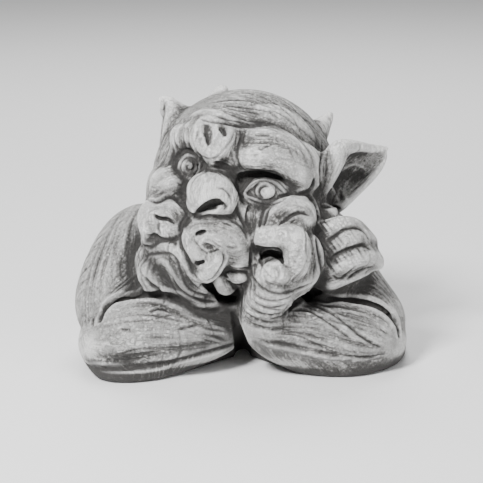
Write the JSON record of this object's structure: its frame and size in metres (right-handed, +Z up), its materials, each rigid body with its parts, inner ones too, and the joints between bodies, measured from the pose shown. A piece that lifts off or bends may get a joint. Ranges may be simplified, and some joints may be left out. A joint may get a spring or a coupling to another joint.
{
  "type": "stone gargoyle",
  "caption": "Free-standing cast stone gargoyle bust: horned, big-eared creature resting its cheek on a fist, arms folded on a flat rough base.",
  "frame": {"origin": "middle of the flat underside of the base, below the middle of the outer box", "axes": "+X to the right seen from the front, +Y from the face to the back, +Z up"},
  "size_m": [0.3294, 0.238, 0.264],
  "materials": {
    "cast_stone": "matt cast stone, pale grey where rubbed, with dark weathering held in the recesses"
  },
  "bodies": {
    "root": {"gargoyle": "cast_stone"}
  },
  "joints": []
}
